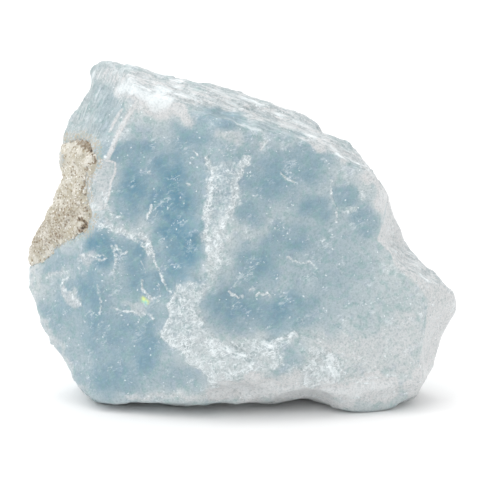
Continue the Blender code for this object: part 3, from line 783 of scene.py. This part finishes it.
# %% The strands group
strands, given, result = new_group(
    "Strands",
    [("Place", VECTOR, None), ("Size in mm", FLOAT, 0.6), ("Width", FLOAT, 0.06), ("Share", FLOAT, 0.6)],
    [("Mask", FLOAT)],
)
size = given.outputs["Size in mm"]
stir = add(strands, "ShaderNodeTexNoise")
feed(strands, stir.inputs["Vector"], given.outputs["Place"])
feed(strands, stir.inputs["Scale"], sums(strands, "DIVIDE", 0.45 / MM, size))
swirl = add(strands, "ShaderNodeVectorMath", operation="SCALE")
feed(strands, swirl.inputs[0], stir.outputs["Color"])
feed(strands, swirl.inputs["Scale"], sums(strands, "MULTIPLY", size, 1.2 * MM))
bent = add(strands, "ShaderNodeVectorMath", operation="ADD")
feed(strands, bent.inputs[0], given.outputs["Place"])
feed(strands, bent.inputs[1], swirl.outputs[0])
waves = add(strands, "ShaderNodeTexNoise")
feed(strands, waves.inputs["Vector"], bent.outputs[0])
feed(strands, waves.inputs["Scale"], sums(strands, "DIVIDE", 1.0 / MM, size))
waves.inputs["Detail"].default_value = 1.5
off_middle = sums(strands, "ABSOLUTE", sums(strands, "SUBTRACT", waves.outputs["Fac"], 0.5))
line = sums(strands, "SUBTRACT", 1.0, sums(strands, "DIVIDE", off_middle, given.outputs["Width"]), clamp=True)
cells = add(strands, "ShaderNodeTexVoronoi")
feed(strands, cells.inputs["Vector"], bent.outputs[0])
feed(strands, cells.inputs["Scale"], sums(strands, "DIVIDE", 0.55 / MM, size))
number = add(strands, "ShaderNodeSeparateColor")
feed(strands, number.inputs[0], cells.outputs["Color"])
kept = sums(strands, "LESS_THAN", number.outputs[0], given.outputs["Share"])
inside = sums(strands, "SUBTRACT", 1.0, ramp(strands, cells.outputs["Distance"], 0.25, 0.62))
strong = sums(strands, "ADD", sums(strands, "MULTIPLY", number.outputs[1], 0.7), 0.3)
windowed = sums(strands, "MULTIPLY", sums(strands, "MULTIPLY", kept, inside), strong)
feed(strands, result.inputs["Mask"], sums(strands, "MULTIPLY", line, windowed))


# %% The crackle group
crackle, given, result = new_group(
    "Crackle",
    [("Place", VECTOR, None), ("Size in mm", FLOAT, 0.8), ("Width", FLOAT, 0.08), ("Shown from", FLOAT, 0.5)],
    [("Mask", FLOAT)],
)
size = given.outputs["Size in mm"]
stir = add(crackle, "ShaderNodeTexNoise")
feed(crackle, stir.inputs["Vector"], given.outputs["Place"])
feed(crackle, stir.inputs["Scale"], sums(crackle, "DIVIDE", 1.1 / MM, size))
stir.inputs["Detail"].default_value = 3.0
swirl = add(crackle, "ShaderNodeVectorMath", operation="SCALE")
feed(crackle, swirl.inputs[0], stir.outputs["Color"])
feed(crackle, swirl.inputs["Scale"], sums(crackle, "MULTIPLY", size, 1.1 * MM))
bent = add(crackle, "ShaderNodeVectorMath", operation="ADD")
feed(crackle, bent.inputs[0], given.outputs["Place"])
feed(crackle, bent.inputs[1], swirl.outputs[0])
cells = add(crackle, "ShaderNodeTexVoronoi", feature="DISTANCE_TO_EDGE")
feed(crackle, cells.inputs["Vector"], bent.outputs[0])
feed(crackle, cells.inputs["Scale"], sums(crackle, "DIVIDE", 1.0 / MM, size))
line = sums(
    crackle, "SUBTRACT", 1.0, sums(crackle, "DIVIDE", cells.outputs["Distance"], given.outputs["Width"]),
    clamp=True)
patches = add(crackle, "ShaderNodeTexNoise")
feed(crackle, patches.inputs["Vector"], bent.outputs[0])
feed(crackle, patches.inputs["Scale"], sums(crackle, "DIVIDE", 0.9 / MM, size))
shown = ramp(
    crackle, patches.outputs["Fac"], given.outputs["Shown from"],
    sums(crackle, "ADD", given.outputs["Shown from"], 0.14))
feed(crackle, result.inputs["Mask"], sums(crackle, "MULTIPLY", line, shown))


def place_group(tree, group, place, **values):
    """A node group in a material, with its own values."""
    node = tree.nodes.new("ShaderNodeGroup")
    node.node_tree = group
    feed(tree, node.inputs["Place"], place)
    for name, value in values.items():
        feed(tree, node.inputs[name.replace("_", " ")], value)
    return node


# %% [markdown]
# ## The crystal's material
#
# The body colour runs from a pale grey to a deep blue by the stored `blue`, with a little teal and lavender
# in it. Haze and frost are mixed over it: noise is added to the stored haze and `frost` before a soft
# threshold, so crushed ground breaks up into white patches with blue between them. The haze also carries
# painted light: a highlight on the top and light in the shade of the underside. Standing edges are whitened,
# partly as chips and partly as a painted highlight, and hollows, furrows and small pockets at random get
# painted shade, with random dark grain mixed in. Threads, webs and specks come last. They are bright on the
# frost, and in the clean faces they gather in faint swarms; the specks are partly white flecks and partly
# painted glints. A share of the light goes under the skin before it comes back, which gives the stone its
# milky glow.

# %% Making the crystal's material
PALE_STONE, DEEP_BLUE = srgb(197, 203, 203), srgb(82, 132, 154)
TEAL, LAVENDER = srgb(120, 163, 160), srgb(142, 154, 182)
# The last colour of the next line is a grey-green for painted shade in hollows, furrows and small pockets,
# which also darkens random grain.
DULL_WHITE, BRIGHT_WHITE, PAINTED_SHADE_AND_GRAIN_GREY = srgb(190, 196, 198), srgb(230, 237, 239), srgb(110, 133, 138)
# The white of the haze, which also paints the highlight on the top and the light in the underside's shade.
HAZE_AND_LIGHT_WHITE = srgb(207, 206, 206)

celestite = bpy.data.materials.new("celestite")
celestite.use_nodes = True
tree = celestite.node_tree
shader = tree.nodes["Principled BSDF"]
place = add(tree, "ShaderNodeTexCoord").outputs["Object"]


def stored(tree, name):
    """A number stored at the piece's points."""
    node = add(tree, "ShaderNodeAttribute")
    node.attribute_name = name
    return node.outputs["Fac"]


def stretched(tree, place, turn, stretch):
    """The place, first turned about the depth axis and then stretched, so that a pattern becomes streaks."""
    turned = add(tree, "ShaderNodeVectorRotate", rotation_type="Y_AXIS")
    feed(tree, turned.inputs["Vector"], place)
    turned.inputs["Angle"].default_value = math.radians(turn)
    longer = add(tree, "ShaderNodeVectorMath", operation="MULTIPLY")
    feed(tree, longer.inputs[0], turned.outputs[0])
    longer.inputs[1].default_value = stretch
    return longer.outputs[0]


blue_here, frost_here, edge_here = stored(tree, "blue"), stored(tree, "frost"), stored(tree, "edge")
crest_here, flank_here = stored(tree, "crest"), stored(tree, "flank")
cloud = place_group(tree, mottle, place, Size_in_mm=2.6, Detail=4.0)
depth = sums(tree, "MULTIPLY", blue_here, ramp(tree, cloud.outputs["Noise"], 0.25, 0.75, 0.86, 1.14))
body = blend_colours(tree, depth, PALE_STONE, DEEP_BLUE)
hue = place_group(tree, mottle, place, Size_in_mm=0.9, Detail=3.0, Low=0.48, High=0.64)
body = blend_colours(tree, sums(tree, "MULTIPLY", hue.outputs["Mask"], 0.38), body, TEAL)
tint = place_group(tree, mottle, place, Size_in_mm=1.1, Detail=3.0, Low=0.52, High=0.70)
body = blend_colours(tree, sums(tree, "MULTIPLY", tint.outputs["Mask"], 0.20), body, LAVENDER)

# %% Strands, streaks and specks of the crystal
coarse_strands = place_group(tree, strands, place, Size_in_mm=1.2, Width=0.045, Share=0.40)
slant_place = stretched(tree, place, 28.0, (0.42, 0.8, 1.0))
slant_strands = place_group(tree, strands, slant_place, Size_in_mm=0.30, Width=0.16, Share=0.50)
steep_place = stretched(tree, place, -58.0, (0.40, 0.8, 1.0))
steep_strands = place_group(tree, strands, steep_place, Size_in_mm=0.34, Width=0.15, Share=0.60)
crest_place = stretched(tree, place, -20.0, (0.16, 0.6, 1.0))
crest_strands = place_group(tree, strands, crest_place, Size_in_mm=0.42, Width=0.26, Share=1.0)
crest_gaps = place_group(tree, mottle, crest_place, Size_in_mm=0.34, Detail=2.0, Low=0.56, High=0.48)
flank_place = stretched(tree, place, -18.0, (1.0, 0.6, 0.16))
flank_strands = place_group(tree, strands, flank_place, Size_in_mm=0.42, Width=0.24, Share=1.0)
flank_gaps = place_group(tree, mottle, flank_place, Size_in_mm=0.34, Detail=2.0, Low=0.56, High=0.48)
swarm = place_group(tree, mottle, place, Size_in_mm=2.2, Detail=3.0, Low=0.48, High=0.68)
speck_share = ramp(tree, swarm.outputs["Mask"], 0.0, 1.0, 0.10, 0.60)
# The specks are partly white flecks in the stone and partly painted glints.
specks = place_group(tree, flecks, place, Size_in_mm=0.44, Share=speck_share, Spread=0.30)
webs = place_group(tree, crackle, place, Size_in_mm=0.80, Width=0.09, Shown_from=0.42)
small_webs = place_group(tree, crackle, slant_place, Size_in_mm=0.34, Width=0.16, Shown_from=0.48)

ribs = sums(tree, "MAXIMUM", sums(tree, "MULTIPLY", crest_strands.outputs["Mask"], crest_here),
            sums(tree, "MULTIPLY", flank_strands.outputs["Mask"], flank_here))
in_frost = ramp(tree, frost_here, 0.2, 0.5)
threads = sums(tree, "MAXIMUM", slant_strands.outputs["Mask"], coarse_strands.outputs["Mask"])
threads = sums(tree, "MAXIMUM", threads, sums(tree, "MULTIPLY", steep_strands.outputs["Mask"], in_frost))
threads = sums(tree, "MAXIMUM", threads, sums(tree, "MULTIPLY", small_webs.outputs["Mask"], 0.9))
threads = sums(tree, "MAXIMUM", threads, sums(tree, "MULTIPLY", webs.outputs["Mask"], in_frost))
threads = sums(tree, "MAXIMUM", threads, sums(tree, "MULTIPLY", ribs, 1.6))
# Painted shade in the furrows between the ribs of the top and of the left flank.
furrow_shade = sums(tree, "MAXIMUM", sums(tree, "MULTIPLY", crest_gaps.outputs["Mask"], crest_here),
               sums(tree, "MULTIPLY", flank_gaps.outputs["Mask"], flank_here))

# %% Frost, haze, painted highlight and painted shade over the crystal
coarse = place_group(tree, mottle, place, Size_in_mm=1.3, Detail=4.0)
fine = place_group(tree, mottle, place, Size_in_mm=0.32, Detail=3.0)
stir_up = sums(
    tree, "ADD", sums(tree, "MULTIPLY", coarse.outputs["Noise"], 0.8),
    sums(tree, "MULTIPLY", fine.outputs["Noise"], 1.0))
stir_up = sums(tree, "SUBTRACT", stir_up, 0.9)
# Standing edges whiten: partly chipped pale edges, partly a painted highlight on the crests.
chipped_edge_and_highlight = ramp(tree, edge_here, 0.005, 0.05, 0.0, 0.42)
level = sums(tree, "ADD", sums(tree, "ADD", frost_here, chipped_edge_and_highlight), stir_up)
whitened = ramp(tree, level, 0.10, 1.0)
# The haze adds painted light: the highlight on the top and the light in the underside's shade come through it.
hazy = sums(tree, "ADD", stored(tree, "veil_and_painted_light"), sums(tree, "MULTIPLY", stir_up, 0.5))
haze = ramp(tree, hazy, 0.10, 1.05)
colour = blend_colours(tree, sums(tree, "MULTIPLY", haze, 0.88), body, HAZE_AND_LIGHT_WHITE)
colour = blend_colours(tree, sums(tree, "MULTIPLY", whitened, 0.78), colour, DULL_WHITE)

# Painted shade: darker in hollows, in small pockets scattered at random and in the furrows between ribs, with
# random dark grain mixed in.
painted_hollow_shade = ramp(tree, edge_here, -0.005, -0.05)
pocket_shade_spots = ramp(tree, fine.outputs["Noise"], 0.50, 0.36)
grain = place_group(tree, mottle, place, Size_in_mm=0.20, Detail=1.0, Low=0.44, High=0.62)
shade_and_dark_grain = sums(tree, "ADD", sums(tree, "MULTIPLY", pocket_shade_spots, 0.40), sums(tree, "MULTIPLY", painted_hollow_shade, 0.40))
shade_and_dark_grain = sums(tree, "ADD", shade_and_dark_grain, sums(tree, "MULTIPLY", grain.outputs["Mask"], 0.32))
shade_and_dark_grain = sums(tree, "ADD", shade_and_dark_grain, sums(tree, "MULTIPLY", furrow_shade, 0.55))
colour = blend_colours(tree, sums(tree, "MULTIPLY", shade_and_dark_grain, 0.62, clamp=True), colour, PAINTED_SHADE_AND_GRAIN_GREY)

ribbed = sums(tree, "MAXIMUM", crest_here, flank_here)
thread_gain = ramp(tree, swarm.outputs["Mask"], 0.0, 1.0, 0.10, 0.52)
thread_gain = sums(tree, "ADD", thread_gain, sums(tree, "MULTIPLY", whitened, 1.1))
thread_gain = sums(
    tree, "ADD", thread_gain,
    sums(tree, "MULTIPLY", haze, sums(tree, "ADD", sums(tree, "MULTIPLY", ribbed, 0.35), 0.08)))
# Threads are white lines in the stone; the specks are partly painted glints.
sparkle = sums(
    tree, "MAXIMUM", sums(tree, "MULTIPLY", threads, thread_gain),
    sums(tree, "MULTIPLY", specks.outputs["Mask"], 0.7))
# Brightest white where the frost is densest, and a painted highlight where the haze with its painted light
# runs over.
dense_white_and_glare = sums(tree, "MAXIMUM", ramp(tree, level, 0.85, 1.9), ramp(tree, hazy, 1.0, 2.0))
sparkle = sums(tree, "MAXIMUM", sparkle, dense_white_and_glare, clamp=True)
colour = blend_colours(tree, sparkle, colour, BRIGHT_WHITE)
sifted = sums(tree, "ADD", fine.outputs["Noise"], sums(tree, "MULTIPLY", grain.outputs["Noise"], 1.2))
dusty = sums(
    tree, "ADD", stored(tree, "dust"), sums(tree, "MULTIPLY", sums(tree, "SUBTRACT", sifted, 1.1), 3.0))
dusted = sums(
    tree, "MULTIPLY", ramp(tree, dusty, 0.55, 0.80, 0.0, 0.8), ramp(tree, stored(tree, "dust"), 0.02, 0.25))
colour = blend_colours(tree, dusted, colour, srgb(176, 166, 146))
# The painted rainbow glint of the spark, from yellow-green to cyan.
rainbow = blend_colours(tree, coarse.outputs["Mask"], srgb(222, 232, 130), srgb(130, 214, 210))
colour = blend_colours(tree, stored(tree, "spark"), colour, rainbow)
feed(tree, shader.inputs["Base Color"], colour)

# %% Gloss and glow of the crystal
feed(tree, shader.inputs["Roughness"], ramp(tree, level, 0.1, 0.9, 0.30, 0.60))
bump = add(tree, "ShaderNodeBump")
bump.inputs["Strength"].default_value = 0.55
bump.inputs["Distance"].default_value = 0.10 * MM
heights = sums(tree, "ADD", fine.outputs["Noise"], sums(tree, "MULTIPLY", webs.outputs["Mask"], in_frost))
feed(tree, bump.inputs["Height"], heights)
feed(tree, shader.inputs["Normal"], bump.outputs["Normal"])
shader.inputs["IOR"].default_value = 1.62
shader.inputs["Subsurface Weight"].default_value = 0.30
shader.inputs["Subsurface Radius"].default_value = (1.0, 1.0, 1.0)
shader.inputs["Subsurface Scale"].default_value = 1.4 * MM
crystal.data.materials.clear()
crystal.data.materials.append(celestite)
crystal.data.shade_smooth()

# %% [markdown]
# ## The sandy matrix
#
# The rind is fine sand held together by a pale cement, with rusty brown stains and dark grains where it meets
# the crystal. The two solids keep a small gap between them, which real rock doesn't have, so the rind is
# drawn on to the crystal and a little way into it. Each grain is a small bump in the mesh, made from the
# distance to the nearest point of a cell noise, on a skin that is swollen a little.

# %% Grains and stains
GRAIN, GRAIN_HEIGHT, SWELL = 0.50, 0.16, 0.08
REACH_ACROSS, SINK = 1.3, 0.18
STAINS = {
    "dark corner": ([(-21.3, 35.3), (-21.0, 34.6), (-20.7, 33.7)], 0.32, 1.0),
    "upper specks": ([(-23.6, 36.8), (-22.8, 36.2), (-21.8, 36.6), (-21.4, 35.8)], 0.5, 0.72),
    "line beside the scar": ([(-21.6, 33.0), (-21.9, 31.4), (-22.3, 29.4)], 0.26, 0.72),
    "low line": ([(-22.4, 30.4), (-22.3, 28.9)], 0.22, 0.66),
    "low corner": ([(-22.6, 25.6), (-22.1, 25.2), (-22.0, 24.6), (-22.8, 24.2)], 0.5, 0.90),
    "middle stain": ([(-23.6, 28.0), (-22.2, 27.6), (-22.4, 26.6)], 0.9, 0.45),
    "foot specks": ([(-25.7, 23.5), (-25.0, 23.4)], 0.40, 0.70),
    "left speck": ([(-24.7, 29.9), (-24.3, 30.0)], 0.22, 0.6),
    "foot edge": ([(-27.8, 22.4), (-28.6, 21.6)], 0.5, 0.45),
    # This stroke makes the lower part of the rind darker.
    "darker lower part": ([(-24.0, 27.0), (-26.4, 24.6), (-28.8, 22.4)], 2.6, 0.50),
}
PALE_EDGES = {
    "top": ([(-28.0, 37.8), (-24.2, 37.5), (-22.2, 37.5)], 1.0, 0.9),
    "left rim": ([(-25.4, 38.0), (-25.6, 35.0), (-25.4, 32.5)], 0.6, 0.7),
    "beside the scar": ([(-21.4, 32.4), (-21.6, 30.4), (-21.2, 28.0)], 0.5, 0.6),
    "foot": ([(-21.4, 23.6), (-24.4, 22.6), (-28.0, 20.6)], 0.5, 0.6),
}


def onto(piece, other, reach, sink):
    """How each point of a piece moves to close a gap: on to the other piece, and this deep into it."""
    tree = BVHTree.FromPolygons(
        [v.co for v in other.data.vertices], [p.vertices[:] for p in other.data.polygons])
    points = read_points(piece.data)
    moves = np.zeros((len(points), 3))
    for i, point in enumerate(points):
        place, normal, _, distance = tree.find_nearest(Vector(point), reach * MM)
        if place is not None:
            near = smooth_share(1.0 - distance / (reach * MM), 0.0, 0.45)
            moves[i] = near * np.array(place - Vector(point) - normal * sink * MM)
    return moves


write_points(matrix.data, read_points(matrix.data) + onto(matrix, crystal, REACH_ACROSS, SINK))
write_points(matrix.data, smoothed(matrix.data, read_points(matrix.data), 1))
here = to_face(read_points(matrix.data))
across, up = on_tracing(here)
grains = np.array([noise.voronoi(Vector(p))[0][0] for p in here / GRAIN])
swollen = (SWELL + GRAIN_HEIGHT * (0.5 - grains)
           + 0.15 * noise_at(here, 1.3) + 0.20 * noise_at(here, 0.8, 2, 15.0))
write_points(matrix.data, read_points(matrix.data) + read_normals(matrix.data) * (swollen * MM)[:, None])
# Up the face, each point takes the wobble of the point three places before it in the list.
wobble = noise_at(here, 1.1)
store(matrix, "stain", strength_of(STAINS, across + 0.5 * wobble, up + 0.5 * np.roll(wobble, 3), 0.4, 1.4))
store(matrix, "grain", grains)
store(
    matrix, "cover", strength_of(PALE_EDGES, across + 0.8 * wobble, up + 0.8 * np.roll(wobble, 3), 0.3, 1.3))

# %% The matrix's material
SAND, PALE_SAND, WARM_SAND = srgb(188, 183, 168), srgb(212, 209, 199), srgb(170, 157, 132)
BROWN, DARK_BROWN, STONE_GREY = srgb(118, 98, 74), srgb(60, 50, 40), srgb(182, 190, 192)

sandstone = bpy.data.materials.new("matrix")
sandstone.use_nodes = True
tree = sandstone.node_tree
shader = tree.nodes["Principled BSDF"]
place = add(tree, "ShaderNodeTexCoord").outputs["Object"]
stain_here, grain_here = stored(tree, "stain"), stored(tree, "grain")
broad = place_group(tree, mottle, place, Size_in_mm=1.5, Detail=3.0, Low=0.4, High=0.65)
sand = blend_colours(tree, broad.outputs["Mask"], SAND, PALE_SAND)
warm = place_group(tree, mottle, place, Size_in_mm=0.5, Detail=3.0, Low=0.5, High=0.7)
sand = blend_colours(tree, sums(tree, "MULTIPLY", warm.outputs["Mask"], 0.7), sand, WARM_SAND)
dark = place_group(tree, flecks, place, Size_in_mm=0.30, Share=0.46, Spread=0.50)
sand = blend_colours(tree, sums(tree, "MULTIPLY", dark.outputs["Mask"], 0.80), sand, BROWN)
light = place_group(tree, flecks, place, Size_in_mm=0.26, Share=0.44, Spread=0.52)
sand = blend_colours(tree, sums(tree, "MULTIPLY", light.outputs["Mask"], 0.90), sand, srgb(234, 233, 228))
crumbs = place_group(tree, mottle, place, Size_in_mm=0.3, Detail=2.0, Low=0.4, High=0.6)
rusty = sums(tree, "ADD", stain_here, sums(tree, "SUBTRACT", crumbs.outputs["Noise"], 0.5))
sand = blend_colours(tree, ramp(tree, rusty, 0.35, 0.80, 0.0, 0.8), sand, BROWN)
sand = blend_colours(tree, ramp(tree, rusty, 0.80, 1.05), sand, DARK_BROWN)
covered = sums(
    tree, "ADD", stored(tree, "cover"),
    sums(tree, "MULTIPLY", sums(tree, "SUBTRACT", crumbs.outputs["Noise"], 0.5), 3.0))
sand = blend_colours(tree, ramp(tree, covered, 0.35, 0.95, 0.0, 0.75), sand, STONE_GREY)
feed(tree, shader.inputs["Base Color"], sand)
feed(tree, shader.inputs["Roughness"], ramp(tree, grain_here, 0.0, 0.8, 0.75, 0.98))
bump = add(tree, "ShaderNodeBump")
bump.inputs["Strength"].default_value = 0.6
bump.inputs["Distance"].default_value = 0.10 * MM
feed(tree, bump.inputs["Height"], crumbs.outputs["Noise"])
feed(tree, shader.inputs["Normal"], bump.outputs["Normal"])
matrix.data.materials.clear()
matrix.data.materials.append(sandstone)
matrix.data.shade_smooth()

# %% Putting the pieces on the model
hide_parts("celestite")
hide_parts("matrix_rind")
for piece, slot in ((crystal, "celestite"), (matrix, "matrix")):
    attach(piece, "root")
    triangles = sum(len(p.vertices) - 2 for p in piece.data.polygons)
    print(piece.name, triangles, "triangles")
